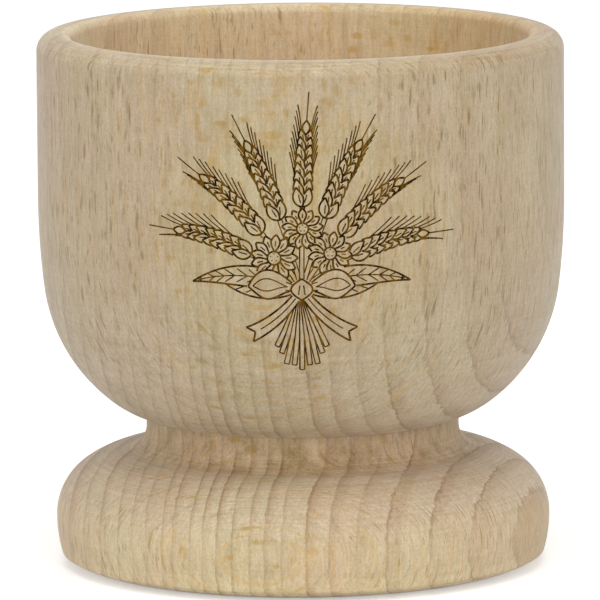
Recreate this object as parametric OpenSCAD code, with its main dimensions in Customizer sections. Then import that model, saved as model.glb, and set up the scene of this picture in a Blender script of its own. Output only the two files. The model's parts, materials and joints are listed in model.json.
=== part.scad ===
// Turned wooden egg cup, in millimetres.
// Both pieces are bodies of revolution about Z, and the foot stands on Z = 0.
// The bowl has a round spigot that is glued into a blind socket in the foot.
// The bowl's shoulder sits on the flat top of the foot's neck.

/* [Bowl] */
// Height from the neck's flat top to the rim
bowl_h = 36; // [34:0.5:44]
// Outer radius of the wall
bowl_r = 24.6; // [24:0.1:28]
// Thickness of the wall at the rim
wall_t = 3.25; // [2.75:0.25:4.5]
// Thickness of the floor above the neck's flat top
floor_t = 5.5; // [4.5:0.1:8]
// Radius of the slow curve that leaves the wall
belly_r = 68; // [60:1:90]
// Angle that the slow curve turns through
belly_angle = 7; // [4:0.5:9]
// Radius of the round underside
under_r = 15.75; // [15:0.25:17]
// Angle below the horizontal at which the underside tightens
tuck_angle = 51.5; // [46:0.5:54]
// Radius of the last curve, which runs in to the neck
tuck_r = 10; // [9.5:0.25:14]
// Radius of the rim's outer edge
rim_outer_edge_r = 1.6; // [1:0.1:1.8]
// Radius of the rim's inner edge
rim_inner_edge_r = 0.8; // [0.5:0.1:0.9]
// Radius of the curve between the hollow's wall and its flat floor
hollow_curve_r = 17; // [14:0.5:18]

/* [Foot] */
// Height of the neck's flat top above the table
foot_h = 14; // [13.25:0.25:18]
// Radius of the neck
neck_r = 14.65; // [13.5:0.05:15.5]
// Radius of the foot where it is widest
foot_r = 23.15; // [22.5:0.05:26]
// Height at which the foot is widest
widest_h = 4.6; // [4.2:0.1:5]
// Radius of the bead's side above its widest part
bead_side_r = 5.7; // [5.3:0.1:6]
// Angle above the horizontal at which the bead flattens
bead_angle = 55; // [50:1:60]
// Radius of the bead's flatter top
bead_top_r = 8.5; // [7.5:0.1:9.5]
// Radius of the cove between the bead's top and the neck
cove_r = 2.2; // [1.6:0.1:2.6]
// Radius of the bead's side below its widest part
bead_low_r = 13; // [10:0.5:18]
// Radius of the foot's bottom edge
foot_edge_r = 0.3; // [0.2:0.1:1]
// Radius of the eased ring between the bottom edge and the flat underside
ease_r = 6.75; // [4:0.25:8]
// Angle at which the eased ring meets the bottom edge
ease_angle = 31.5; // [20:0.5:36]

/* [Glued joint] */
// Radius of the bowl's spigot
spigot_r = 7; // [5:0.5:9]
// Length of the spigot
spigot_l = 8; // [6:0.5:9]
// Width and height of the chamfer on the spigot's end
spigot_chamfer = 0.8; // [0.4:0.1:1.2]
// Gap for glue round the spigot
glue_gap = 0.05; // [0.05:0.01:0.15]
// Gap for glue below the spigot
glue_well = 0.4; // [0.2:0.1:0.8]

/* [Hidden] */
$fn = 144;
beech = [0.82, 0.72, 0.58];
// Overrun of a cut past the face that it opens
cut = 1;
// How far a slice's wedge reaches past its arc, as a share of the radius
wedge_share = 1.5;

// Point on an arc, in the plane of radius and height
function at(centre, r, turn) = centre + r * [cos(turn), sin(turn)];
// Centre of a curve of radius r_next that leaves the curve (centre, r) at an angle, with no corner
function tangent_centre(centre, r, r_next, turn) = at(centre, r - r_next, turn);
// Angle at which an arc reaches a distance from the axis
function angle_at(centre, r, axis_distance) = acos((axis_distance - centre.x) / r);

// Slice of a disc between two angles
module slice(centre, r, from, to) {
    middle = (from + to) / 2;
    translate(centre)
        intersection() {
            circle(r);
            polygon([[0, 0], for (turn = [from, middle, to]) wedge_share * r * [cos(turn), sin(turn)]]);
        }
}

// What is left of a square corner outside the round edge that it gets
module corner_waste(r) {
    difference() {
        square(r + cut);
        circle(r);
    }
}

// Foot: from the flat underside, round the bead and through the cove to the neck.
// Each curve runs into the next with no corner.
low_centre = [foot_r - bead_low_r, widest_h];
edge_centre_h = ease_r - (ease_r - foot_edge_r) * cos(ease_angle);
edge_centre_r = low_centre.x
    + sqrt(pow(bead_low_r - foot_edge_r, 2) - pow(widest_h - edge_centre_h, 2));
edge_centre = [edge_centre_r, edge_centre_h];
low_angle = asin((edge_centre_h - widest_h) / (bead_low_r - foot_edge_r));
ease_centre = [edge_centre_r - (ease_r - foot_edge_r) * sin(ease_angle), ease_r];
side_centre = [foot_r - bead_side_r, widest_h];
top_centre = tangent_centre(side_centre, bead_side_r, bead_top_r, bead_angle);
cove_side = neck_r + cove_r - top_centre.x;
cove_up = sqrt(pow(bead_top_r + cove_r, 2) - pow(cove_side, 2));
cove_centre = top_centre + [cove_side, cove_up];
top_angle = atan2(cove_up, cove_side);

// Bowl: from the neck, round the underside and up to the wall
rim_h = foot_h + bowl_h;
belly_low = [bowl_r - belly_r, 0];
under_low = tangent_centre(belly_low, belly_r, under_r, -belly_angle);
tuck_low = tangent_centre(under_low, under_r, tuck_r, -tuck_angle);
tuck_end_angle = -angle_at(tuck_low, tuck_r, neck_r);
// Height at which the wall becomes upright, so that the last curve ends on the neck's top edge
wall_h = foot_h - at(tuck_low, tuck_r, tuck_end_angle).y;
belly_centre = belly_low + [0, wall_h];
under_centre = under_low + [0, wall_h];
tuck_centre = tuck_low + [0, wall_h];

hollow_r = bowl_r - wall_t;
hollow_h = foot_h + floor_t;
hollow_centre = [hollow_r - hollow_curve_r, hollow_h + hollow_curve_r];

socket_r = spigot_r + glue_gap;
socket_h = foot_h - spigot_l - glue_well;

// Half of the bowl's section without its hollow
module bowl_outside() {
    polygon([
        [0, foot_h],
        [neck_r, foot_h],
        at(tuck_centre, tuck_r, -tuck_angle),
        at(under_centre, under_r, -belly_angle),
        [bowl_r, wall_h],
        [bowl_r, rim_h],
        [0, rim_h]
    ]);
    slice(tuck_centre, tuck_r, tuck_end_angle, -tuck_angle);
    slice(under_centre, under_r, -tuck_angle, -belly_angle);
    intersection() {
        slice(belly_centre, belly_r, -belly_angle, 0);
        translate([0, foot_h])
            square([bowl_r, bowl_h]);
    }
}

// Half of the hollow's section, from its flat floor to above the rim
module bowl_hollow() {
    polygon([
        [0, hollow_h],
        [hollow_centre.x, hollow_h],
        [hollow_r, hollow_centre.y],
        [hollow_r, rim_h + cut],
        [0, rim_h + cut]
    ]);
    slice(hollow_centre, hollow_curve_r, -90, 0);
    translate([hollow_r + rim_inner_edge_r, rim_h - rim_inner_edge_r])
        mirror([1, 0])
            corner_waste(rim_inner_edge_r);
}

module bowl() {
    color(beech) {
        rotate_extrude()
            difference() {
                bowl_outside();
                bowl_hollow();
                translate([bowl_r - rim_outer_edge_r, rim_h - rim_outer_edge_r])
                    corner_waste(rim_outer_edge_r);
            }
        spigot();
    }
}

// Spigot under the bowl, chamfered so that it enters the socket
module spigot() {
    translate([0, 0, foot_h - spigot_l])
        cylinder(h = spigot_chamfer, r1 = spigot_r - spigot_chamfer, r2 = spigot_r);
    translate([0, 0, foot_h - spigot_l + spigot_chamfer])
        cylinder(h = spigot_l - spigot_chamfer, r = spigot_r);
}

// Half of the foot's section, bead and neck in one
module foot_outside() {
    difference() {
        polygon([
            [0, 0],
            [ease_centre.x, 0],
            at(ease_centre, ease_r, ease_angle - 90),
            at(edge_centre, foot_edge_r, low_angle),
            [foot_r, widest_h],
            at(side_centre, bead_side_r, bead_angle),
            at(top_centre, bead_top_r, top_angle),
            [neck_r, cove_centre.y],
            [neck_r, foot_h],
            [0, foot_h]
        ]);
        slice(cove_centre, cove_r, 180, 180 + top_angle);
    }
    slice(ease_centre, ease_r, -90, ease_angle - 90);
    slice(edge_centre, foot_edge_r, ease_angle - 90, low_angle);
    slice(low_centre, bead_low_r, low_angle, 0);
    slice(side_centre, bead_side_r, 0, bead_angle);
    slice(top_centre, bead_top_r, bead_angle, top_angle);
}

module foot() {
    color(beech)
        difference() {
            rotate_extrude()
                foot_outside();
            translate([0, 0, socket_h])
                cylinder(h = foot_h - socket_h + cut, r = socket_r);
        }
}

bowl();
foot();
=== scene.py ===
"""Looks of a turned beech egg cup with an engraved wheat sheaf.

The bowl and the foot are turned from half sections, the sheaf is cut into the bowl's wall,
and one piece of wood, with its growth rings and rays, runs through both.
The file is laid out as an add-on. It works in metres, and in millimetres where it says so.
"""
import json
import math

import bpy
from bpy.props import FloatProperty, FloatVectorProperty, PointerProperty
from mathutils import Matrix, Vector

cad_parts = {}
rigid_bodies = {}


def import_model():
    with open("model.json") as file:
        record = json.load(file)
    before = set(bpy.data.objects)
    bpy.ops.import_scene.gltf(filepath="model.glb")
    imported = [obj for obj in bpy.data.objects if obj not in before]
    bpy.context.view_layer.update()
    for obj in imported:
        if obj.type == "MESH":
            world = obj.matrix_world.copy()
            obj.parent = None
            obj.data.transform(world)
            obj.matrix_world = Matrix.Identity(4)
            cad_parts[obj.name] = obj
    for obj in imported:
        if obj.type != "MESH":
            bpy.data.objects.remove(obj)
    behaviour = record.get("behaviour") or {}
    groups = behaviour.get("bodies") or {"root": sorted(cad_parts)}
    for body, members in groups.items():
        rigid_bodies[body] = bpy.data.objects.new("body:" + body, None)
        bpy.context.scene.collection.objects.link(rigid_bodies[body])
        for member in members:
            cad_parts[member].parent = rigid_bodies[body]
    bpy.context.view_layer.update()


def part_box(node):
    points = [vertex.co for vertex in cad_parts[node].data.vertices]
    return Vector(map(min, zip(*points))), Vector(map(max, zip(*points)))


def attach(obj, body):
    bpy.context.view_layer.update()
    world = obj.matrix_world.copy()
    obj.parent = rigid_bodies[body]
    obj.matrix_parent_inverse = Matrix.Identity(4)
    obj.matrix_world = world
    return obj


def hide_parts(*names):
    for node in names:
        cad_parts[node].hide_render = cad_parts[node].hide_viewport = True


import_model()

bl_info = {
    "name": "Turned egg cup",
    "version": (1, 0, 0),
    "blender": (4, 5, 0),
    "location": "3D View > Sidebar > Egg cup",
    "description": "Turns an egg cup, engraves it and sets it on a pale table",
    "category": "Object",
}

MM = 0.001
BOWL_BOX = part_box("bowl")
FOOT_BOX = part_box("foot")
FULL_TURN = 2 * math.pi
RIGHT_ANGLE = math.pi / 2
# Two points closer than this are one point of a mesh
SAME_POINT = 0.001 * MM
# A curve is drawn with chords that leave it by no more than this
CHORD_GAP = 0.003 * MM
# The largest turn that one chord may take
CHORD_TURN = math.radians(9)
# The drawing's lines are of two widths
FINE, BOLD = range(2)
# Distance between two points of a drawn line, in millimetres
LINE_STEP = 0.2
# Lines nearer than this, in millimetres, are cut one after another
LAYER_GAP = 0.25
# A line that turns more sharply than this has a corner
CORNER = math.radians(50)
# Faces that meet at less than this are shaded as one
SMOOTH_BELOW = math.radians(30)
# How much more red, green and blue each place of the cup shows than plain wood does.
# Most of it is painted light: the foot, its lower half and bottom and the bowl's belly are
# painted paler for the light that the table throws up, and the rim and the hollow are painted
# paler for the light that falls on them. The darker place on the right of the hollow and rim
# and at the foot's edges is painted shade. The neck is more orange, and the singed oval is
# the yellowing from the engraving's heat
PAINTED_LIGHT_AND_PLACE_TONES = {
    "foot": (0.17, 0.18, 0.26),
    "lower_half": (0.11, 0.11, 0.00),
    "bottom": (0.09, 0.11, 0.11),
    "hollow": (0.36, 0.36, 0.35),
    "rim": (0.08, 0.10, 0.13),
    "neck": (0.00, -0.06, -0.14),
    "belly": (0.00, 0.03, 0.08),
    "singed": (0.00, -0.01, -0.08),
    "painted_side_shade": (-0.10, -0.16, -0.24),
}
# How strongly the marks of the grain change each colour
MARK_TONES = {"Red": 0.85, "Green": 1.0, "Blue": 1.5}
# The kinds of rays, with their spacing out from the pith, round it and upwards, in millimetres.
# The dashes show on the wall alone
RAYS = {
    "broad": (3.2, 0.68, 1.5),
    "middling": (5.0, 0.27, 4.2),
    "fine": (2.4, 0.21, 1.7),
    "dashes": (4.0, 0.44, 3.0),
}
# The oval that the engraving's heat has yellowed: its middle's height and its half width and
# half height, in millimetres
SINGED_MIDDLE, SINGED_WIDTH, SINGED_HEIGHT = 33.5, 13.5, 13.0
# The colour of light, and the grey of the table top
WHITE = (1, 1, 1, 1)
TABLE_GREY = 0.93
# Distance from the lamps to the cup, and how wide they are
LAMP_DISTANCE = 0.8
LAMP_SIZE = 0.6
# Width of the camera's sensor, in millimetres, and the nearest and farthest that it sees
SENSOR_WIDTH = 36
SIGHT = 0.01, 20


def length(name, description, default):
    """A size in metres that the user may change."""
    return FloatProperty(name=name, description=description, default=default, min=0, precision=5,
                         subtype="DISTANCE", unit="LENGTH")


def angle(name, description, degrees):
    """An angle that the user may change, given in degrees and kept in radians."""
    return FloatProperty(name=name, description=description, default=math.radians(degrees),
                         subtype="ANGLE", unit="ROTATION")


def share(name, description, default):
    """A plain number from 0 to 1."""
    return FloatProperty(name=name, description=description, default=default, min=0, max=1,
                         subtype="FACTOR")


def tint(name, description, default):
    """A colour."""
    return FloatVectorProperty(name=name, description=description, default=default, min=0, max=1,
                               size=3, subtype="COLOR")


def power(name, description, default):
    """The power of a lamp in watts."""
    return FloatProperty(name=name, description=description, default=default, min=0,
                         subtype="POWER", unit="POWER")


class EggCupFoot(bpy.types.PropertyGroup):
    """Sizes of the foot"""

    height: length("Height", "Height of the neck's flat top", FOOT_BOX[1].z)
    radius: length("Radius", "Radius where the foot is widest", FOOT_BOX[1].x)
    widest: length("Widest at", "Height at which the foot is widest", 4.6 * MM)
    neck: length("Neck", "Radius of the neck", 14.65 * MM)
    side: length("Side", "Radius of the bead's side above its widest part", 5.7 * MM)
    side_angle: angle("Side angle", "Angle at which the bead flattens", 55)
    top: length("Top", "Radius of the bead's flatter top", 8.5 * MM)
    cove: length("Cove", "Radius of the cove between the bead's top and the neck", 2.2 * MM)
    low: length("Low", "Radius of the bead's side below its widest part", 13 * MM)
    edge: length("Edge", "Radius of the bottom edge", 0.3 * MM)
    ease: length("Ease", "Radius of the eased ring inside the bottom edge", 6.75 * MM)
    ease_angle: angle("Ease angle", "Angle at which the eased ring meets the edge", 31.5)
    socket: length("Socket", "Radius of the socket for the spigot", 7.05 * MM)
    socket_depth: length("Socket depth", "Depth of the socket for the spigot", 8.4 * MM)


class EggCupBowl(bpy.types.PropertyGroup):
    """Sizes of the bowl"""

    rim: length("Rim height", "Height of the rim above the table", BOWL_BOX[1].z)
    radius: length("Radius", "Outer radius of the wall", BOWL_BOX[1].x)
    wall: length("Wall", "Thickness of the wall at the rim", 3.25 * MM)
    floor: length("Floor", "Thickness of the floor above the neck", 5.5 * MM)
    belly: length("Belly", "Radius of the slow curve that leaves the wall", 68 * MM)
    belly_angle: angle("Belly angle", "Turn of the slow curve", 7)
    under: length("Underside", "Radius of the round underside", 15.75 * MM)
    tuck_angle: angle("Tuck angle", "Angle at which the underside tightens", 51.5)
    tuck: length("Tuck", "Radius of the curve that runs in to the neck", 10 * MM)
    outer_edge: length("Outer edge", "Radius of the rim's outer edge", 1.6 * MM)
    inner_edge: length("Inner edge", "Radius of the rim's inner edge", 0.8 * MM)
    hollow_curve: length("Hollow", "Radius of the curve round the hollow's floor", 17 * MM)
    spigot: length("Spigot", "Radius of the spigot", 7 * MM)
    spigot_end: length("Spigot end", "Height of the spigot's end above the table", BOWL_BOX[0].z)
    chamfer: length("Chamfer", "Width of the chamfer on the spigot's end", 0.8 * MM)


class EggCupWood(bpy.types.PropertyGroup):
    """Colours and grain of the beech"""

    light: tint("Light", "Colour between two growth rings", (0.556, 0.462, 0.290))
    warm: tint("Warm", "Colour of the pinker patches", (0.538, 0.410, 0.272))
    line: tint("Ring line", "Colour of the late wood that ends a ring", (0.215, 0.115, 0.045))
    late: tint("Late wood", "Colour of the soft band that runs up to a ring line", (0.325, 0.185, 0.085))
    ray: tint("Ray", "Colour of a ray that is cut across", (0.255, 0.150, 0.050))
    gold: tint("Gold", "Colour of a ray that lies bare along the surface", (0.475, 0.305, 0.105))
    scorch: tint("Scorch", "Colour of the burnt grooves", (0.036, 0.014, 0.001))
    scorch_pale: tint("Pale scorch", "Colour of the grooves' paler stretches", (0.215, 0.112, 0.012))
    pith_side: length("Pith to the side", "Distance of the tree's pith to the right", 152 * MM)
    pith_front: length("Pith to the front", "Distance of the tree's pith to the front", 49.4 * MM)
    inmost_ring: length("Inmost rings", "Width of the growth rings nearest the pith", 2.7 * MM)
    widest_from: length("Widest from", "Distance from the pith where the widest rings begin", 141 * MM)
    widest_ring: length("Widest rings", "Width of the widest growth rings", 3.5 * MM)
    wide_from: length("Wide from", "Distance from the pith where the wide rings begin", 148 * MM)
    wide_ring: length("Wide rings", "Width of the wide growth rings", 2.2 * MM)
    narrow_from: length("Narrow from", "Distance from the pith where the narrow rings begin", 156.2 * MM)
    narrow_ring: length("Narrow rings", "Width of the narrow growth rings", 1.472 * MM)
    last_from: length("Last from", "Distance from the pith where the last rings begin", 172.5 * MM)
    last_ring: length("Last rings", "Width of the growth rings farthest from the pith", 2.016 * MM)
    roughness: share("Roughness", "Roughness of the sanded surface", 0.62)


class EggCupEngraving(bpy.types.PropertyGroup):
    """Sizes of the engraving"""

    bold: length("Bold line", "Width of the outlines", 0.21 * MM)
    fine: length("Fine line", "Width of the fine lines", 0.14 * MM)
    tie: length("Tie", "How far the knot lies below the upright wall, along the surface", 5.2 * MM)


class EggCupStage(bpy.types.PropertyGroup):
    """Camera, table and lights"""

    aim_side: FloatProperty(name="Aim to the side",
                            description="How far to the right of the axis the view's centre passes",
                            default=-0.169 * MM, precision=6, subtype="DISTANCE", unit="LENGTH")
    aim_height: length("Aim height", "Height at which the view's centre meets the axis", 24.637 * MM)
    distance: length("Distance", "Distance from the camera to the cup", 765.88 * MM)
    elevation: angle("Elevation", "Angle at which the camera looks down", 8.7087)
    roll: angle("Roll", "Turn of the camera about its view", -0.3883)
    lens: FloatProperty(name="Lens", description="Focal length", default=490.42, min=1,
                        subtype="DISTANCE_CAMERA")
    table: length("Table", "Width of the table", 3.0)
    sky: FloatProperty(name="Sky", description="Strength of the light from all round", default=0.4,
                       min=0)
    top_lamp: power("Top lamp", "Power of the lamp overhead", 2.1)
    front_lamp: power("Front lamp", "Power of the lamp in front", 1.25)
    side_lamps: power("Side lamps", "Power of each lamp at a front corner", 0.62)
    back_lamp: power("Back lamp", "Power of the lamp behind", 0.4)
    lift: share("Table glow", "How much paler the camera sees the table than the lamps light it", 0.42)


class EggCup(bpy.types.PropertyGroup):
    """All settings of the egg cup"""

    foot: PointerProperty(type=EggCupFoot)
    bowl: PointerProperty(type=EggCupBowl)
    wood: PointerProperty(type=EggCupWood)
    engraving: PointerProperty(type=EggCupEngraving)
    stage: PointerProperty(type=EggCupStage)


def settings():
    """The egg cup's settings."""
    return bpy.context.scene.egg_cup


def deselect_all():
    """Leaves nothing selected, in object mode."""
    if bpy.context.object and bpy.context.object.mode != "OBJECT":
        bpy.ops.object.mode_set(mode="OBJECT")
    bpy.ops.object.select_all(action="DESELECT")


def select_only(piece):
    """Selects one piece and makes it the active one."""
    deselect_all()
    piece.select_set(True)
    bpy.context.view_layer.objects.active = piece


def on_arc(centre, radius, turn):
    """The point of an arc, in the plane of radius and height."""
    return centre + radius * Vector((math.cos(turn), math.sin(turn)))


class Lathe:
    """Draws half a section from the axis and back to it, and turns it into a closed piece."""

    STEPS = 256

    def __init__(self, name, height):
        deselect_all()
        bpy.ops.mesh.primitive_plane_add(size=1 * MM)
        self.piece = bpy.context.object
        self.piece.name = name
        self.piece.data.name = name
        self.tip = Vector((0, height))
        bpy.ops.object.mode_set(mode="EDIT")
        bpy.ops.mesh.select_all(action="SELECT")
        bpy.ops.mesh.merge(type="CENTER")
        bpy.ops.transform.translate(value=(0, 0, height))

    def line_to(self, radius, height):
        """Draws a straight line."""
        move = Vector((radius, height)) - self.tip
        bpy.ops.mesh.extrude_region_move(TRANSFORM_OT_translate={"value": (move.x, 0, move.y)})
        self.tip = self.tip + move

    def arc_to(self, centre, end):
        """Draws an arc round a centre, to the angle at which it ends."""
        spoke = self.tip - centre
        turn = end - math.atan2(spoke.y, spoke.x)
        chord = min(CHORD_TURN, 2 * math.acos(1 - CHORD_GAP / spoke.length))
        bpy.ops.mesh.spin(steps=math.ceil(abs(turn) / chord), angle=turn,
                          center=(centre.x, 0, centre.y), axis=(0, 1, 0))
        self.tip = on_arc(centre, spoke.length, end)

    def turned(self):
        """Spins the section about the axis and closes the seam and the poles."""
        bpy.ops.mesh.select_all(action="SELECT")
        bpy.ops.mesh.spin(steps=self.STEPS, angle=FULL_TURN, center=(0, 0, 0), axis=(0, 0, 1))
        bpy.ops.mesh.select_all(action="SELECT")
        bpy.ops.mesh.remove_doubles(threshold=SAME_POINT)
        bpy.ops.mesh.normals_make_consistent(inside=False)
        bpy.ops.object.mode_set(mode="OBJECT")
        bpy.ops.object.shade_smooth_by_angle(angle=SMOOTH_BELOW)
        return self.piece


def foot_piece(foot):
    """Turns the foot, from the flat underside round the bead and into the socket."""
    low = Vector((foot.radius - foot.low, foot.widest))
    edge_height = foot.ease - (foot.ease - foot.edge) * math.cos(foot.ease_angle)
    edge_side = math.sqrt((foot.low - foot.edge) ** 2 - (foot.widest - edge_height) ** 2)
    edge = Vector((low.x + edge_side, edge_height))
    ease = Vector((edge.x - (foot.ease - foot.edge) * math.sin(foot.ease_angle), foot.ease))
    side = Vector((foot.radius - foot.side, foot.widest))
    top = on_arc(side, foot.side - foot.top, foot.side_angle)
    cove_side = foot.neck + foot.cove - top.x
    cove = top + Vector((cove_side, math.sqrt((foot.top + foot.cove) ** 2 - cove_side ** 2)))

    lathe = Lathe("turned_foot", 0)
    lathe.line_to(ease.x, 0)
    lathe.arc_to(ease, foot.ease_angle - RIGHT_ANGLE)
    lathe.arc_to(edge, math.asin((edge_height - foot.widest) / (foot.low - foot.edge)))
    lathe.arc_to(low, 0)
    lathe.arc_to(side, foot.side_angle)
    lathe.arc_to(top, math.atan2(cove.y - top.y, cove_side))
    lathe.arc_to(cove, -math.pi)
    lathe.line_to(foot.neck, foot.height)
    lathe.line_to(foot.socket, foot.height)
    lathe.line_to(foot.socket, foot.height - foot.socket_depth)
    lathe.line_to(0, foot.height - foot.socket_depth)
    return lathe.turned()


class BowlSection:
    """Centres and angles of the bowl's outside, which its section and its engraving share."""

    def __init__(self, bowl, foot):
        self.bowl = bowl
        belly = Vector((bowl.radius - bowl.belly, 0))
        under = on_arc(belly, bowl.belly - bowl.under, -bowl.belly_angle)
        tuck = on_arc(under, bowl.under - bowl.tuck, -bowl.tuck_angle)
        self.tuck_start = -math.acos((foot.neck - tuck.x) / bowl.tuck)
        self.wall_height = foot.height - on_arc(tuck, bowl.tuck, self.tuck_start).y
        lift = Vector((0, self.wall_height))
        self.belly = belly + lift
        self.under = under + lift
        self.tuck = tuck + lift

    def point(self, up):
        """The outside's radius and height at a length along it, from where the wall turns upright."""
        bowl = self.bowl
        if up >= 0:
            return Vector((bowl.radius, self.wall_height + up))
        turn = -up / bowl.belly
        if turn <= bowl.belly_angle:
            return on_arc(self.belly, bowl.belly, -turn)
        turn = bowl.belly_angle + (turn - bowl.belly_angle) * bowl.belly / bowl.under
        return on_arc(self.under, bowl.under, -turn)


def bowl_piece(bowl, foot):
    """Turns the bowl, from the spigot's end round the outside and over the rim into the hollow."""
    section = BowlSection(bowl, foot)
    hollow_radius = bowl.radius - bowl.wall
    hollow_floor = foot.height + bowl.floor
    hollow = Vector((hollow_radius - bowl.hollow_curve, hollow_floor + bowl.hollow_curve))
    outer = Vector((bowl.radius - bowl.outer_edge, bowl.rim - bowl.outer_edge))
    inner = Vector((hollow_radius + bowl.inner_edge, bowl.rim - bowl.inner_edge))

    lathe = Lathe("turned_bowl", bowl.spigot_end)
    lathe.line_to(bowl.spigot - bowl.chamfer, bowl.spigot_end)
    lathe.line_to(bowl.spigot, bowl.spigot_end + bowl.chamfer)
    lathe.line_to(bowl.spigot, foot.height)
    lathe.line_to(foot.neck, foot.height)
    lathe.arc_to(section.tuck, -bowl.tuck_angle)
    lathe.arc_to(section.under, -bowl.belly_angle)
    lathe.arc_to(section.belly, 0)
    lathe.line_to(bowl.radius, outer.y)
    lathe.arc_to(outer, RIGHT_ANGLE)
    lathe.line_to(inner.x, bowl.rim)
    lathe.arc_to(inner, math.pi)
    lathe.line_to(hollow_radius, hollow.y)
    lathe.arc_to(hollow, -RIGHT_ANGLE)
    lathe.line_to(0, hollow_floor)
    return lathe.turned()


def heading(turn):
    """The direction at an angle from straight up, to the right."""
    return Vector((math.sin(turn), math.cos(turn)))


def bowed(start, turn, size, bend=0.0):
    """Points along an arc that leaves in one direction and has turned by bend at its end."""
    count = max(4, math.ceil(size / LINE_STEP))
    points = [Vector(start)]
    for i in range(count):
        points.append(points[-1] + heading(turn + bend * (i + 0.5) / count) * size / count)
    return points


def flanked(spine, half_width):
    """The closed outline round a spine, whose half width is a function of the share along it."""
    last = len(spine) - 1
    left, right = [], []
    for i, point in enumerate(spine):
        across = (spine[min(i + 1, last)] - spine[max(i - 1, 0)]).normalized().orthogonal()
        left.append(point + half_width(i / last) * across)
        right.append(point - half_width(i / last) * across)
    return left + right[::-1]


def blade(spine, width, belly=1.0):
    """An outline pointed at both ends. A belly under 1 moves its widest part towards the start."""
    outline = flanked(spine, lambda along: width / 2 * math.sin(math.pi * along ** belly))
    half = len(spine)
    return outline[:half] + outline[half + 1:-1]


def strip(spine, start_width, end_width):
    """An outline of two lines side by side."""
    return flanked(spine, lambda along: (start_width + (end_width - start_width) * along) / 2)


class Drawing:
    """Line art on a flat sheet, in millimetres: x to the right and y up.
    What is drawn first lies in front, and hides what comes later."""

    def __init__(self):
        self.strokes = []
        self.shapes = []

    def hidden(self, point):
        """Whether an earlier shape covers a point."""
        for low, high, outline in self.shapes:
            if low.x < point.x < high.x and low.y < point.y < high.y:
                crossings = 0
                for a, b in zip(outline, outline[1:] + outline[:1]):
                    if (a.y > point.y) != (b.y > point.y):
                        crossings += point.x < a.x + (b.x - a.x) * (point.y - a.y) / (b.y - a.y)
                if crossings % 2:
                    return True
        return False

    def line(self, points, width):
        """Draws the stretches of a line that nothing hides."""
        run = []
        for point in points:
            if self.hidden(point):
                self.keep(run, width)
                run = []
            else:
                run.append(point)
        self.keep(run, width)

    def keep(self, run, width):
        """Keeps a stretch that is long enough to show."""
        if len(run) > 2:
            self.strokes.append((run, width))

    def shape(self, outline, width, *inner):
        """Draws a closed outline with its inner lines, and hides what comes later inside it."""
        self.line(outline + outline[:1], width)
        for points in inner:
            self.line(points, FINE)
        low = Vector((min(p.x for p in outline), min(p.y for p in outline)))
        high = Vector((max(p.x for p in outline), max(p.y for p in outline)))
        self.shapes.append((low, high, outline))


def draw_ear(drawing, base, turn, bend):
    """An ear of wheat: rows of grains on both sides of its stalk, and their awns."""
    size, rows = 6.6, 8
    grain_size, grain_width, grain_lean, grain_bend = 1.9, 0.92, math.radians(34), math.radians(30)
    crease_size, crease_lean, crease_bend = 1.2, math.radians(28), math.radians(20)
    awn_size, awn_loss, awn_lean, awn_bend = 3.3, 1.2, math.radians(7), math.radians(9)
    tip_size, tip_width, last_awn = 1.3, 0.7, 2.6
    stalk = bowed(base, turn, size, bend)
    awns = []
    for row in range(rows):
        along = row / rows
        root = stalk[round(along * (len(stalk) - 1))]
        lean = turn + bend * along
        shrink = 1 - 0.35 * along ** 2
        for side in (-1, 1):
            grain = bowed(root, lean + side * grain_lean, grain_size * shrink, -side * grain_bend)
            crease = bowed(root, lean + side * crease_lean, crease_size * shrink, -side * crease_bend)
            drawing.shape(blade(grain, grain_width * shrink, 0.85), BOLD, crease[2:])
            awns.append(bowed(grain[-1], lean + side * awn_lean, awn_size - awn_loss * along,
                              side * awn_bend))
    tip = bowed(stalk[-1], turn + bend, tip_size)
    drawing.shape(blade(tip, tip_width), BOLD)
    awns.append(bowed(tip[-1], turn + bend, last_awn))
    for awn in awns:
        drawing.line(awn, FINE)


def draw_daisy(drawing, centre, size, first):
    """A daisy: a stippled middle and a ring of creased petals."""
    centre = Vector(centre)
    middle, petal_width = 0.27 * size, 0.36 * size
    petals, chords, seeds = 13, 16, 5
    ring = [centre + middle * heading(FULL_TURN * i / chords) for i in range(chords)]
    dots = [[centre + 0.55 * middle * heading(FULL_TURN * i / seeds) + Vector((0, 0.05 * j))
             for j in range(3)] for i in range(seeds)]
    drawing.shape(ring, BOLD, *dots)
    for i in range(petals):
        turn = first + FULL_TURN * i / petals
        root = centre + 0.8 * middle * heading(turn)
        petal = bowed(root, turn, size - middle, 0.0)
        drawing.shape(blade(petal, petal_width, 1.25), BOLD, petal[3:-3])


def draw_leaf(drawing, root, turn, size, width, bend):
    """A long leaf with a midrib and slanting veins."""
    vein_gap, vein_lean = 1.1, math.radians(32)
    rib = bowed(root, turn, size, bend)
    veins = []
    count = round(size / vein_gap)
    for i in range(1, count):
        along = i / count
        start = rib[round(along * (len(rib) - 1))]
        reach = 0.62 * width * math.sin(math.pi * along)
        for side in (-1, 1):
            veins.append(bowed(start, turn + bend * along + side * vein_lean, reach))
    drawing.shape(blade(rib, width, 0.9), BOLD, rib[:-3], *veins)


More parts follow.
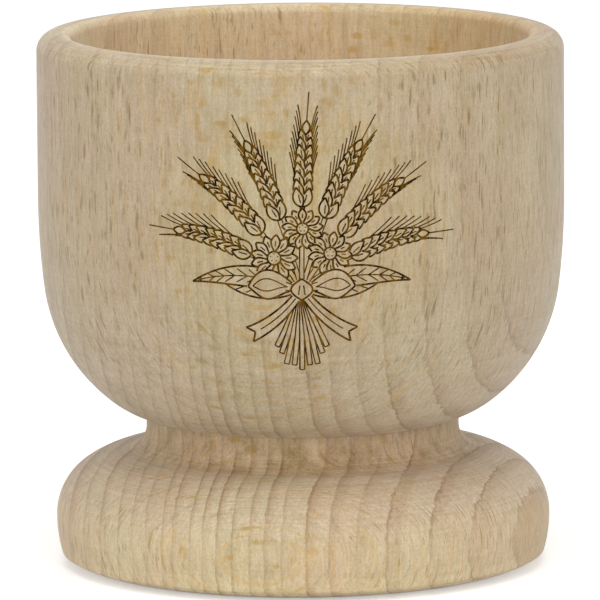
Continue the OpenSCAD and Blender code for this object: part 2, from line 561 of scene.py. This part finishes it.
def draw_bow(drawing, knot):
    """A ribbon bow: the knot, two loops and two tails."""

    def arc(side, x, y, turn, size, bend=0):
        """An arc on one side that starts so far from the knot, with its angles in degrees."""
        start = knot + Vector((side * x, y))
        return bowed(start, side * math.radians(turn), size, side * math.radians(bend))

    drawing.shape(blade(arc(1, 0, -1.0, 0, 2.0), 2.0), BOLD,
                  *(arc(side, 0.3, -0.5, -8, 0.9) for side in (-1, 1)))
    for side in (-1, 1):
        loop = arc(side, 0, 0, 72, 5.0, 30)
        inside = arc(side, 1.3, 0.25, 78, 3.2, 22)
        drawing.shape(blade(inside, 1.15, 1.4), FINE)
        drawing.shape(blade(loop, 2.7, 1.5), BOLD,
                      arc(side, 0, 0, 55, 1.6, 20), arc(side, 0, 0, 98, 1.5, -10))
        tail = arc(side, 0, 0, 148, 6.6, -34)
        outline = strip(tail, 0.7, 1.5)
        half = len(tail)
        notch = tail[-4]
        drawing.shape(outline[:half] + [notch] + outline[half:], BOLD, tail[3:-6])


def sheaf_drawing(knot_drop):
    """A sheaf of wheat with daisies and leaves, tied with a ribbon."""
    drawing = Drawing()
    knot = Vector((0, -knot_drop))
    draw_bow(drawing, knot)
    # Each daisy's place from the knot, its radius and the angle of its first petal
    for x, y, size, first in ((-2.5, 2.9, 2.3, 0.1), (2.6, 3.3, 2.15, 0.2), (0.1, 5.6, 2.0, 0.0)):
        draw_daisy(drawing, knot + Vector((x, y)), size, first)
    stalks = []
    # Each stalk's angle, its length and how much its ear curls
    for degrees, reach, curl in ((0, 7.6, 3), (-15, 6.7, -8), (16, 6.9, 9), (-31, 6.3, -16),
                                 (32, 6.1, 17), (-49, 5.6, -24), (50, 5.4, 25)):
        stalk = bowed(knot, math.radians(degrees), reach, math.radians(curl * 0.5))
        draw_ear(drawing, stalk[-1], math.radians(degrees + curl * 0.5), math.radians(curl))
        stalks.append(stalk)
    for stalk in stalks:
        drawing.shape(strip(stalk, 0.4, 0.4), FINE)
    for side in (-1, 1):
        draw_leaf(drawing, knot, side * math.radians(66), 10.5, 1.9, side * math.radians(42))
        draw_leaf(drawing, knot, side * math.radians(96), 8.4, 1.7, side * math.radians(-30))
    stems = 9
    for i in range(stems):
        spread = i - stems // 2
        stem = bowed(knot, math.radians(180 + 5.2 * spread), 7.8 - 0.12 * spread ** 2 - 0.35 * (i % 2),
                     math.radians(1.5 * spread))
        drawing.shape(strip(stem, 0.42, 0.46), FINE)
    return drawing


def cornered(strokes):
    """Breaks lines at their sharp corners, so that no groove folds back on itself."""
    broken = []
    for run, width in strokes:
        part = [run[0]]
        for before, point, after in zip(run, run[1:], run[2:]):
            part.append(point)
            sides = point - before, after - point
            if min(side.length for side in sides) > 0 and sides[0].angle(sides[1]) > CORNER:
                broken.append((part, width))
                part = [point]
        broken.append((part + [run[-1]], width))
    return broken


def in_layers(strokes):
    """Sorts lines into layers in which no two touch."""
    layers = []
    for run, width in strokes:
        cells = {(math.floor(p.x / LAYER_GAP), math.floor(p.y / LAYER_GAP)) for p in run}
        around = {(x + i, y + j) for x, y in cells for i in (-1, 0, 1) for j in (-1, 0, 1)}
        for taken, members in layers:
            if not taken & cells:
                break
        else:
            taken, members = set(), []
            layers.append((taken, members))
        taken |= around
        members.append((run, width))
    return [members for _, members in layers]


def groove_tool(strokes, section, engraving, material):
    """Round bars that follow the lines along the bowl's outside, to be cut from it."""
    curve = bpy.data.curves.new("groove_tool", "CURVE")
    curve.dimensions = "3D"
    # Each point's own radius scales this one
    curve.bevel_depth = 1.0
    curve.bevel_resolution = 1
    curve.use_fill_caps = True
    for run, width in strokes:
        spline = curve.splines.new("POLY")
        spline.points.add(len(run) - 1)
        for knot, place in zip(spline.points, run):
            radius, height = section.point(place.y * MM)
            turn = place.x * MM / section.bowl.radius
            knot.co = (radius * math.sin(turn), -radius * math.cos(turn), height, 1)
            knot.radius = (engraving.bold if width == BOLD else engraving.fine) / 2
    tool = bpy.data.objects.new("groove_tool", curve)
    bpy.context.scene.collection.objects.link(tool)
    select_only(tool)
    bpy.ops.object.convert(target="MESH")
    tool = bpy.context.object
    tool.data.materials.append(material)
    bpy.ops.object.mode_set(mode="EDIT")
    bpy.ops.mesh.select_all(action="SELECT")
    bpy.ops.mesh.remove_doubles(threshold=SAME_POINT / 10)
    bpy.ops.mesh.normals_make_consistent(inside=False)
    bpy.ops.object.mode_set(mode="OBJECT")
    return tool


def remove_chips(piece):
    """Removes what the cuts leave loose: all that doesn't hang together with the spigot's end."""
    select_only(piece)
    bpy.ops.object.mode_set(mode="EDIT")
    bpy.ops.mesh.select_all(action="DESELECT")
    bpy.ops.object.mode_set(mode="OBJECT")
    min(piece.data.vertices, key=lambda vertex: vertex.co.z).select = True
    bpy.ops.object.mode_set(mode="EDIT")
    bpy.ops.mesh.select_linked()
    bpy.ops.mesh.select_all(action="INVERT")
    bpy.ops.mesh.delete(type="VERT")
    bpy.ops.object.mode_set(mode="OBJECT")


def engrave(piece, section, engraving, material):
    """Cuts the drawing into the bowl, one layer of lines after another."""
    drawing = sheaf_drawing(engraving.tie / MM)
    for strokes in in_layers(cornered(drawing.strokes)):
        tool = groove_tool(strokes, section, engraving, material)
        select_only(piece)
        cut = piece.modifiers.new("groove", "BOOLEAN")
        cut.operation = "DIFFERENCE"
        cut.solver = "MANIFOLD"
        cut.material_mode = "TRANSFER"
        cut.object = tool
        bpy.ops.object.modifier_apply(modifier=cut.name)
        bpy.data.objects.remove(tool)
    remove_chips(piece)
    bpy.ops.object.shade_smooth_by_angle(angle=SMOOTH_BELOW)


class Wire:
    """A number that a node gives. An expression on wires adds the Math nodes that work it out."""

    def __init__(self, board, socket):
        self.board = board
        self.socket = socket

    def output(self, name):
        """Another output of the same node."""
        return Wire(self.board, self.socket.node.outputs[name])

    def maths(self, operation, *values):
        """Adds one Math node for wires and plain numbers."""
        return self.board.node("ShaderNodeMath", {"operation": operation}, dict(enumerate(values)))

    def __add__(self, other):
        return self.maths("ADD", self, other)

    __radd__ = __add__

    def __mul__(self, other):
        return self.maths("MULTIPLY", self, other)

    __rmul__ = __mul__

    def __sub__(self, other):
        return self.maths("SUBTRACT", self, other)

    def __rsub__(self, other):
        return self.maths("SUBTRACT", other, self)

    def __truediv__(self, other):
        return self.maths("DIVIDE", self, other)

    def __pow__(self, other):
        return self.maths("POWER", self, other)

    def __abs__(self):
        return self.maths("ABSOLUTE", self)

    def floor(self):
        """The whole number below."""
        return self.maths("FLOOR", self)

    def fraction(self):
        """What is left above the whole number below."""
        return self.maths("FRACT", self)

    def angle_over(self, other):
        """The angle whose tangent is this over the other."""
        return self.maths("ARCTAN2", self, other)

    def highest(self, other):
        """The larger of two."""
        return self.maths("MAXIMUM", self, other)

    def ease(self, low, high):
        """0 at low and 1 at high, with a soft turn at both ends. High may be the smaller one."""
        return self.board.node("ShaderNodeMapRange", {"interpolation_type": "SMOOTHSTEP"},
                               {"Value": self, "From Min": low, "From Max": high})


class Board:
    """The nodes of one material or world."""

    def __init__(self, owner):
        owner.use_nodes = True
        self.tree = owner.node_tree
        self.tree.nodes.clear()

    def node(self, kind, settings=None, inputs=None, output=0):
        """Adds a node: its settings first, then the values or links of its sockets."""
        node = self.tree.nodes.new(kind)
        for name, value in (settings or {}).items():
            setattr(node, name, value)
        for name, value in (inputs or {}).items():
            socket = node.inputs[name]
            if isinstance(value, Wire):
                self.tree.links.new(value.socket, socket)
            else:
                socket.default_value = value
        return Wire(self, node.outputs[output]) if node.outputs else None

    def point(self, x, y, z):
        """A vector from three numbers."""
        return self.node("ShaderNodeCombineXYZ", None, {"X": x, "Y": y, "Z": z})

    def place(self):
        """Where a point of the piece lies, as three numbers in millimetres."""
        place = self.node("ShaderNodeTexCoord", None, None, "Object")
        return self.split(self.node("ShaderNodeVectorMath", {"operation": "SCALE"},
                                    {"Vector": place, "Scale": 1 / MM}))

    def split(self, vector):
        """The three numbers of a vector."""
        x = self.node("ShaderNodeSeparateXYZ", None, {"Vector": vector})
        return x, x.output("Y"), x.output("Z")

    def noise(self, point, detail=2.0, roughness=0.5):
        """A smooth random number about one half, about one wave to each unit."""
        inputs = {"Vector": point, "Scale": 1.0, "Detail": detail, "Roughness": roughness}
        return self.node("ShaderNodeTexNoise", None, inputs)

    def chance(self, value):
        """A random number from 0 to 1 for each whole number."""
        return self.node("ShaderNodeTexWhiteNoise", {"noise_dimensions": "1D"}, {"W": value})

    def blend(self, factor, first, second, mode="MIX"):
        """Mixes two colours."""
        return self.node("ShaderNodeMix", {"data_type": "RGBA", "blend_type": mode},
                         {0: factor, 6: first, 7: second}, 2)

    def flecks(self, point, size):
        """Scattered spots, with a random number for each. Size is the largest spot's radius."""
        spots = self.node("ShaderNodeTexVoronoi", None, {"Vector": point, "Scale": 1.0})
        chance = self.node("ShaderNodeSeparateColor", None, {"Color": spots.output("Color")})
        reach = size * (0.4 + 0.6 * chance)
        # A spot's edge is soft
        return spots.ease(reach * 1.1, reach * 0.35), chance.output("Green")


def seen(board):
    """1 for what the camera sees, straight, by a gloss or through glass, and 0 for light on the cup."""
    straight = board.node("ShaderNodeLightPath", None, None, "Is Camera Ray")
    gloss, glass = straight.output("Is Glossy Ray"), straight.output("Is Transmission Ray")
    return straight.highest(gloss).highest(glass)


def rgba(colour):
    """A colour property as a socket takes it."""
    return (*colour, 1.0)


class Grain:
    """Where a point of the wood lies in the tree, and what the grain does there.
    Heights, radii and distances are in millimetres."""

    def __init__(self, board, wood):
        self.board = board
        x, y, z = board.place()
        self.x, self.y, self.z = x, y, z
        self.radius = (x * x + y * y) ** 0.5
        facing = board.split(board.node("ShaderNodeNewGeometry", None, None, "Normal"))
        # 0 on an upright wall, which shows long grain, and 1 on a level face, which shows end grain
        self.end_grain = abs(facing[2])
        # The trunk isn't quite straight, and its rings are a little ragged
        sway = self.waves(0.045, 0.035, detail=1.0)
        shiver = self.waves(0.32, 0.28)
        ragged = self.waves(1.9, 0.7, detail=1.0)
        side = wood.pith_side / MM - x
        front = wood.pith_front / MM + y
        out = (side * side + front * front) ** 0.5
        # 0 where the surface lies along the rays, and 1 where it cuts across them
        self.across = abs(facing[0] * side - facing[1] * front) / out
        # 1 where it lies along them, or nearly
        self.along = self.across.ease(0.60, 0.15)
        # 1 among the wide rings near the pith, whose lines are more ragged
        self.young = out.ease(150.0, 146.0)
        self.out = out + 1.6 * sway + 0.45 * shiver + (0.22 + 0.45 * self.young) * ragged
        reach = math.hypot(wood.pith_side, wood.pith_front) / MM
        around = front.angle_over(side) * reach
        self.round = around + 0.5 * shiver + 0.06 * ragged
        # The same without most of the shiver, for what runs far along the rays
        self.even_round = around + 0.12 * shiver + 0.05 * ragged

    def swing(self, x, y, z, detail=2.0, roughness=0.5):
        """A smooth random number between about -0.5 and 0.5, about one wave to each unit."""
        return self.board.noise(self.board.point(x, y, z), detail, roughness) - 0.5

    def waves(self, across, upright, detail=2.0, roughness=0.5):
        """The same, with so many waves to each millimetre across the fibres and along them."""
        return self.swing(self.x * across, self.y * across, self.z * upright, detail, roughness)

    def rings(self, wood):
        """The late wood's thin line, and the tone that deepens towards it."""
        board = self.board
        drift = self.swing(self.out * 0.55, 0.0, 0.0, detail=1.0)
        count = (self.out - wood.last_from / MM) * (MM / wood.last_ring) + 0.9 * drift
        for edge, inner, outer in ((wood.widest_from, wood.inmost_ring, wood.widest_ring),
                                   (wood.wide_from, wood.widest_ring, wood.wide_ring),
                                   (wood.narrow_from, wood.wide_ring, wood.narrow_ring),
                                   (wood.last_from, wood.narrow_ring, wood.last_ring)):
            inside = (edge / MM - self.out).highest(0.0)
            count = count - inside * (MM / inner - MM / outer)
        # How far through its ring a point lies, and how bold that ring is
        place = count.fraction()
        strength = board.chance(count.floor()).highest(0.6 * self.young)
        broken = board.noise(board.point(self.out * 1.4, self.round * 0.35, self.z * 0.25), detail=3.0)
        core = place.ease(0.78 + 0.11 * self.young, 0.94) * place.ease(1.0, 0.95)
        line = core * broken.ease(0.28, 0.55) * (0.45 + 0.55 * strength) * (1 + 0.3 * self.young)
        tone = place.ease(0.35, 0.97) ** (1 + 1.2 * self.young) * place.ease(1.0, 0.97)
        tone = tone * (0.4 + 0.6 * strength)
        return line, tone

    def rays(self, kind):
        """Scattered rays of one kind, some of them darker than others."""
        out, around, up = RAYS[kind]
        cell = self.board.point(self.out / out, self.round / around, self.z / up)
        spot, depth = self.board.flecks(cell, 0.36)
        return spot * (0.3 + 0.7 * depth)

    def fibres(self):
        """Fine upright streaks."""
        return self.waves(3.2, 0.45, detail=3.0, roughness=0.7)

    def fuzz(self):
        """The sanded surface's finest speckle."""
        return self.waves(6.5, 4.5, detail=1.0, roughness=0.7)

    def streaks(self):
        """Long faint upright streaks."""
        return self.waves(1.5, 0.07, roughness=0.6)

    def patches(self, size):
        """Soft patches, about as wide as size in millimetres."""
        return self.waves(1 / size, 1 / (1.5 * size), detail=3.0)

    def pores(self):
        """Tiny upright dashes."""
        cell = self.board.point(self.x / 0.34, self.y / 0.34, self.z / 1.5)
        dash, depth = self.board.flecks(cell, 0.27)
        return dash * depth

    def sheets(self):
        """Thin sheets that stand in the direction of the rays."""
        return self.swing(self.out / 5.0, self.round / 0.45, self.z / 1.9, detail=3.0, roughness=0.6)

    def arcs(self):
        """Wide even sheets, which show as nested arcs where the surface touches them flat."""
        return self.swing(self.out / 10.0, self.even_round / 0.18, self.z / 8.0, roughness=0.6)

    def turning(self):
        """Fine lines that the lathe leaves all round."""
        return self.swing(self.x * 0.10, self.y * 0.10, 3.2 * (self.z - self.radius), detail=3.0,
                          roughness=0.65)

    def clouds(self):
        """Soft golden clouds where the surface lies along the rays."""
        return self.patches(1.1).ease(0.07, 0.20) * self.along * (1 - self.end_grain)

    def hollow(self, bowl):
        """1 on the hollow's wall and floor."""
        side = (self.radius - (bowl.radius - bowl.wall - bowl.hollow_curve) / MM).highest(0.0)
        below = ((FOOT_BOX[1].z + bowl.floor + bowl.hollow_curve) / MM - self.z).highest(0.0)
        curve = bowl.hollow_curve / MM
        return ((side * side + below * below) ** 0.5).ease(curve + 1.25, curve + 0.55)

    def places(self, bowl):
        """How much a point belongs to each place of the cup, by the place's name. Most places carry
        painted light or painted shade in the colour.
        """
        x, z = self.x, self.z
        hollow = self.hollow(bowl)
        foot = z.ease(12.5, 10.2)
        rim = z.ease(48.4, 49.6)
        nearest_pith = self.out.ease(138.0, 137.2)
        side, up = x / SINGED_WIDTH, (z - SINGED_MIDDLE) / SINGED_HEIGHT
        # The foot, its lower half and bottom, the belly, the rim and the hollow are painted paler, as
        # painted light
        return {
            "foot": foot,
            "lower_half": z.ease(9.0, 4.5),
            "bottom": z.ease(3.2, 1.2),
            "neck": self.radius.ease(17.6, 15.2) * z.ease(9.5, 11.0) * z.ease(16.5, 14.6),
            "belly": z.ease(33.0, 22.0) * z.ease(12.5, 14.5),
            "wall": z.ease(21.0, 27.0) * (1 - hollow),
            "rim": rim,
            "hollow": hollow,
            "singed": (side * side + up * up).ease(1.15, 0.65) * self.y.ease(0.0, -5.0),
            # Painted shade, darker and browner: the right side of the hollow and of the rim, and both
            # edges of the foot, the right one where the wood lies nearest the pith
            "painted_side_shade": ((1.5 * hollow + rim) * x.ease(4.0, 19.0)
                      + foot * (1.4 * nearest_pith + 0.5 * x.ease(-17.5, -23.0))),
        }


def material_for(name, surface):
    """A material that is made once and then shared. Surface is the function that lays out its nodes."""
    material = bpy.data.materials.get(name)
    if material is None:
        material = bpy.data.materials.new(name)
        board = Board(material)
        board.node("ShaderNodeOutputMaterial", None, {"Surface": surface(board)})
    return material


def beech(board):
    """Sanded bare beech, the same solid block through both pieces, with light and shade painted into its
    colour place by place.
    """
    wood = settings().wood
    grain = Grain(board, wood)
    places = grain.places(settings().bowl)
    foot, neck, hollow, wall = (places[name] for name in ("foot", "neck", "hollow", "wall"))
    open_grain = grain.end_grain
    line, tone = grain.rings(wood)
    broad, middling, fine, dashes = (grain.rays(kind) for kind in RAYS)
    fibres = grain.fibres()
    fuzz = grain.fuzz()
    pores = grain.pores()
    sheets = grain.sheets()
    arcs = grain.arcs()
    turning = grain.turning()

    ring_share = 1 - 0.5 * places["rim"]
    gold = rgba(wood.gold)
    ray = board.blend(grain.across.ease(0.15, 0.65), gold, rgba(wood.ray))
    colour = board.blend((0.5 + 2.2 * grain.patches(11.0)).ease(0, 1), rgba(wood.light), rgba(wood.warm))
    # Each layer's strength and its colour, from the rings up to the finest rays
    for strength, paint in (
            ((0.16 + 0.44 * open_grain + 0.04 * foot + 0.08 * neck) * tone * ring_share, rgba(wood.late)),
            ((0.10 + 0.42 * open_grain + 0.10 * foot + 0.22 * neck) * line * ring_share, rgba(wood.line)),
            (0.50 * sheets.ease(0.02, 0.30), gold),
            (0.46 * arcs.ease(0.02, 0.18), gold),
            (0.32 * grain.clouds(), gold),
            (broad * grain.along.highest(0.7 * hollow), gold),
            (0.40 * neck * grain.patches(1.7).ease(0.04, 0.20), gold),
            (0.85 * middling, ray),
            (0.80 * wall * dashes, ray),
            (0.70 * fine, ray)):
        colour = board.blend(strength, colour, paint)

    # The grain shows most on the neck, and least in the hollow
    change = (0.62 * fibres * (1 - 0.5 * neck) + 0.50 * fuzz + 0.26 * sheets + 0.44 * arcs
              + 0.30 * grain.patches(3.0) + 0.18 * grain.streaks() + (0.14 + 0.72 * open_grain) * turning
              - 0.25 * pores - 0.03 * open_grain + 0.75 * neck * grain.patches(1.3))
    change = change * (1 - 0.06 * wall - 0.28 * hollow - 0.12 * foot + 0.25 * neck)
    # Each place's tone multiplies the grain's shade; most of these tones are painted light, and one is
    # painted shade
    shade = {}
    for i, (channel, mark_tone) in enumerate(MARK_TONES.items()):
        gains = [tones[i] * places[place] for place, tones in PAINTED_LIGHT_AND_PLACE_TONES.items() if tones[i]]
        shade[channel] = (1 + mark_tone * change) * sum(gains, 1)
    colour = board.blend(1.0, colour, board.node("ShaderNodeCombineColor", None, shade), "MULTIPLY")

    relief = 0.9 * fibres + 0.9 * fuzz - 0.8 * pores - 0.35 * line + 0.9 * turning - 0.3 * middling
    bump = board.node("ShaderNodeBump", None, {"Distance": 0.018 * MM, "Height": relief})
    return board.node("ShaderNodeBsdfPrincipled", None, {
        "Base Color": colour,
        "Roughness": wood.roughness - 0.10 * fibres + 0.06 * pores,
        "IOR": 1.45,
        "Sheen Weight": 0.25,
        "Sheen Roughness": 0.5,
        "Normal": bump,
    })


def scorched_beech(board):
    """The burnt walls and floor of the engraved grooves."""
    wood = settings().wood
    x, y, z = board.place()
    streak = board.noise(board.point(x * 2.2, y * 2.2, z * 0.5), detail=3.0, roughness=0.6)
    colour = board.blend(streak.ease(0.38, 0.60), rgba(wood.scorch), rgba(wood.scorch_pale))
    char = board.noise(board.point(x * 14, y * 14, z * 9))
    bump = board.node("ShaderNodeBump", None, {"Distance": 0.02 * MM, "Height": char})
    return board.node("ShaderNodeBsdfPrincipled", None, {
        "Base Color": colour,
        "Roughness": 0.75 + 0.15 * char,
        "Specular IOR Level": 0.02,
        "Normal": bump,
    })


def white_table(board):
    """A matt white, which looks paler to the camera than the lamps make it."""
    matt = board.node("ShaderNodeBsdfDiffuse", None, {"Color": rgba([TABLE_GREY] * 3)})
    glow = board.node("ShaderNodeEmission", None, {
        "Color": WHITE, "Strength": settings().stage.lift * seen(board)})
    return board.node("ShaderNodeAddShader", None, {0: matt, 1: glow})


def dress(piece, node):
    """Gives a finished piece its wood and its body, and hides the frame's node that it stands for."""
    piece.data.materials.append(material_for("turned_beech", beech))
    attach(piece, "root")
    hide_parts(node)


class EGGCUP_OT_foot(bpy.types.Operator):
    """Turns the foot, with its neck and the socket for the bowl's spigot"""

    bl_idname = "eggcup.foot"
    bl_label = "Foot"

    def execute(self, context):
        piece = foot_piece(settings().foot)
        dress(piece, "foot")
        return {"FINISHED"}


class EGGCUP_OT_bowl(bpy.types.Operator):
    """Turns the bowl, with its rounded rim, its hollow and its spigot"""

    bl_idname = "eggcup.bowl"
    bl_label = "Bowl"

    def execute(self, context):
        piece = bowl_piece(settings().bowl, settings().foot)
        dress(piece, "bowl")
        return {"FINISHED"}


class EGGCUP_OT_engraving(bpy.types.Operator):
    """Burns a sheaf of wheat into the front of the bowl"""

    bl_idname = "eggcup.engraving"
    bl_label = "Engraving"

    def execute(self, context):
        section = BowlSection(settings().bowl, settings().foot)
        scorched = material_for("scorched_beech", scorched_beech)
        engrave(bpy.data.objects["turned_bowl"], section, settings().engraving, scorched)
        return {"FINISHED"}


class EGGCUP_OT_stage(bpy.types.Operator):
    """Sets up the camera, the pale table and plain soft light"""

    bl_idname = "eggcup.stage"
    bl_label = "Stage"

    def execute(self, context):
        stage = settings().stage
        place_camera(stage)
        lay_table(stage)
        light_scene(stage)
        context.scene.view_settings.view_transform = "Standard"
        return {"FINISHED"}


def place_camera(stage):
    """A long lens at the photograph's distance and angle."""
    ahead = Vector((0, math.cos(stage.elevation), -math.sin(stage.elevation)))
    turned = Matrix.Rotation(-stage.roll, 3, ahead)
    right = turned @ Vector((1, 0, 0))
    up = right.cross(ahead)
    aim = Vector((stage.aim_side, 0, stage.aim_height))
    deselect_all()
    bpy.ops.object.camera_add()
    camera = bpy.context.object
    camera.name = "camera"
    camera.matrix_world = Matrix.Translation(aim - stage.distance * ahead) @ Matrix(
        (right, up, -ahead)).transposed().to_4x4()
    camera.data.sensor_width = SENSOR_WIDTH
    camera.data.lens = stage.lens
    camera.data.clip_start, camera.data.clip_end = SIGHT
    bpy.context.scene.camera = camera


def lay_table(stage):
    """A wide white table top."""
    deselect_all()
    bpy.ops.mesh.primitive_plane_add(size=stage.table)
    table = bpy.context.object
    table.name = "table"
    table.data.materials.append(material_for("white_table", white_table))


def light_scene(stage):
    """Even white light from all round, which the camera sees as plain white, and five soft lamps."""
    world = bpy.data.worlds.new("white_room")
    bpy.context.scene.world = world
    board = Board(world)
    strength = stage.sky + (1 - stage.sky) * seen(board)
    light = board.node("ShaderNodeBackground", None, {"Color": WHITE, "Strength": strength})
    board.node("ShaderNodeOutputWorld", None, {"Surface": light})
    # Each lamp's angle round the cup and above the table, in degrees, and its power
    for name, turn, height, watts in (("top_lamp", 0, 75, stage.top_lamp),
                                      ("front_lamp", 0, 22, stage.front_lamp),
                                      ("left_lamp", -62, 28, stage.side_lamps),
                                      ("right_lamp", 62, 28, stage.side_lamps),
                                      ("back_lamp", 180, 35, stage.back_lamp)):
        deselect_all()
        turn, height = math.radians(turn), math.radians(height)
        spot = LAMP_DISTANCE * Vector((math.sin(turn) * math.cos(height),
                                       -math.cos(turn) * math.cos(height), math.sin(height)))
        bpy.ops.object.light_add(type="AREA", location=spot)
        lamp = bpy.context.object
        lamp.name = name
        lamp.data.shape = "DISK"
        lamp.data.size = LAMP_SIZE
        lamp.data.energy = watts
        lamp.rotation_euler = (-spot).to_track_quat("-Z", "Y").to_euler()


class EGGCUP_PT_panel(bpy.types.Panel):
    """Lists the settings and the steps of the egg cup"""

    bl_idname = "EGGCUP_PT_panel"
    bl_label = "Egg cup"
    bl_space_type = "VIEW_3D"
    bl_region_type = "UI"
    bl_category = "Egg cup"

    def draw(self, context):
        layout = self.layout
        for step in STEPS:
            layout.operator(step.bl_idname)
        for part in EggCup.__annotations__:
            group = getattr(settings(), part)
            box = layout.box()
            box.label(text=group.__doc__)
            for name in group.__annotations__:
                box.prop(group, name)


STEPS = (EGGCUP_OT_stage, EGGCUP_OT_foot, EGGCUP_OT_bowl, EGGCUP_OT_engraving)
CLASSES = (EggCupFoot, EggCupBowl, EggCupWood, EggCupEngraving, EggCupStage, EggCup, *STEPS,
           EGGCUP_PT_panel)


def register():
    """Registers the classes and hangs the settings on the scene."""
    for each in CLASSES:
        bpy.utils.register_class(each)
    bpy.types.Scene.egg_cup = PointerProperty(type=EggCup)


def unregister():
    """Takes the settings and the classes away again."""
    del bpy.types.Scene.egg_cup
    for each in reversed(CLASSES):
        bpy.utils.unregister_class(each)


def main():
    """Makes the egg cup, step by step."""
    register()
    bpy.ops.eggcup.stage()
    bpy.ops.eggcup.foot()
    bpy.ops.eggcup.bowl()
    bpy.ops.eggcup.engraving()


if __name__ == "__main__":
    main()
